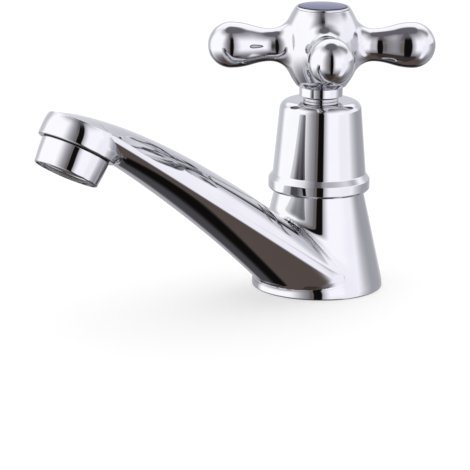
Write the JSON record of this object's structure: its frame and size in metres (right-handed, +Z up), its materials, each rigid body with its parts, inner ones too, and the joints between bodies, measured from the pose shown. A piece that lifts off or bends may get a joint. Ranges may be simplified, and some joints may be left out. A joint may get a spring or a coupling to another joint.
{
  "type": "basin tap",
  "caption": "Single pillar basin tap: chromed cast body with a broad upswept spout, bell-shaped shroud, cross handle that turns a quarter-turn ceramic valve, and a screwed-in aerator.",
  "frame": {"origin": "on the tap axis at the deck, in the mouth of the inlet", "axes": "+Z up along the tap axis, -Y along the spout, +X to the right of someone who faces the spout"},
  "size_m": [0.0676, 0.1598, 0.1023],
  "materials": {
    "chrome": "mirror-bright plating",
    "brass": "turned",
    "steel": "bright zinc-plated",
    "steel_mesh": "plain-woven wire",
    "black_rubber": "matte",
    "ceramic": "lapped, opaque",
    "white_plastic": "moulded",
    "blue_plastic": "gloss"
  },
  "bodies": {
    "tap_body": {"body_casting": "chrome", "base_seal": "black_rubber", "valve_body": "brass", "valve_seal": "black_rubber", "seat_seal": "black_rubber", "ceramic_disc_fixed": "ceramic", "shroud": "chrome", "shroud_ring": "chrome", "aerator_housing": "chrome", "aerator_washer": "black_rubber", "aerator_insert": "white_plastic", "aerator_cassette": "white_plastic", "aerator_mesh": "steel_mesh"},
    "handle": {"cross_handle": "chrome", "handle_screw": "steel", "index_cap": "chrome", "index_disc": "blue_plastic", "spindle": "brass", "thrust_washer": "white_plastic", "spindle_o_ring_lower": "black_rubber", "spindle_o_ring_upper": "black_rubber", "spindle_clip": "steel", "ceramic_disc_moving": "ceramic"}
  },
  "joints": [
    {"name": "handle_turn", "type": "hinge", "parent": "tap_body", "child": "handle", "pos_m": [0, 0, 0.0695], "axis": [0, 0, 1], "range_deg": [0, 90]}
  ]
}
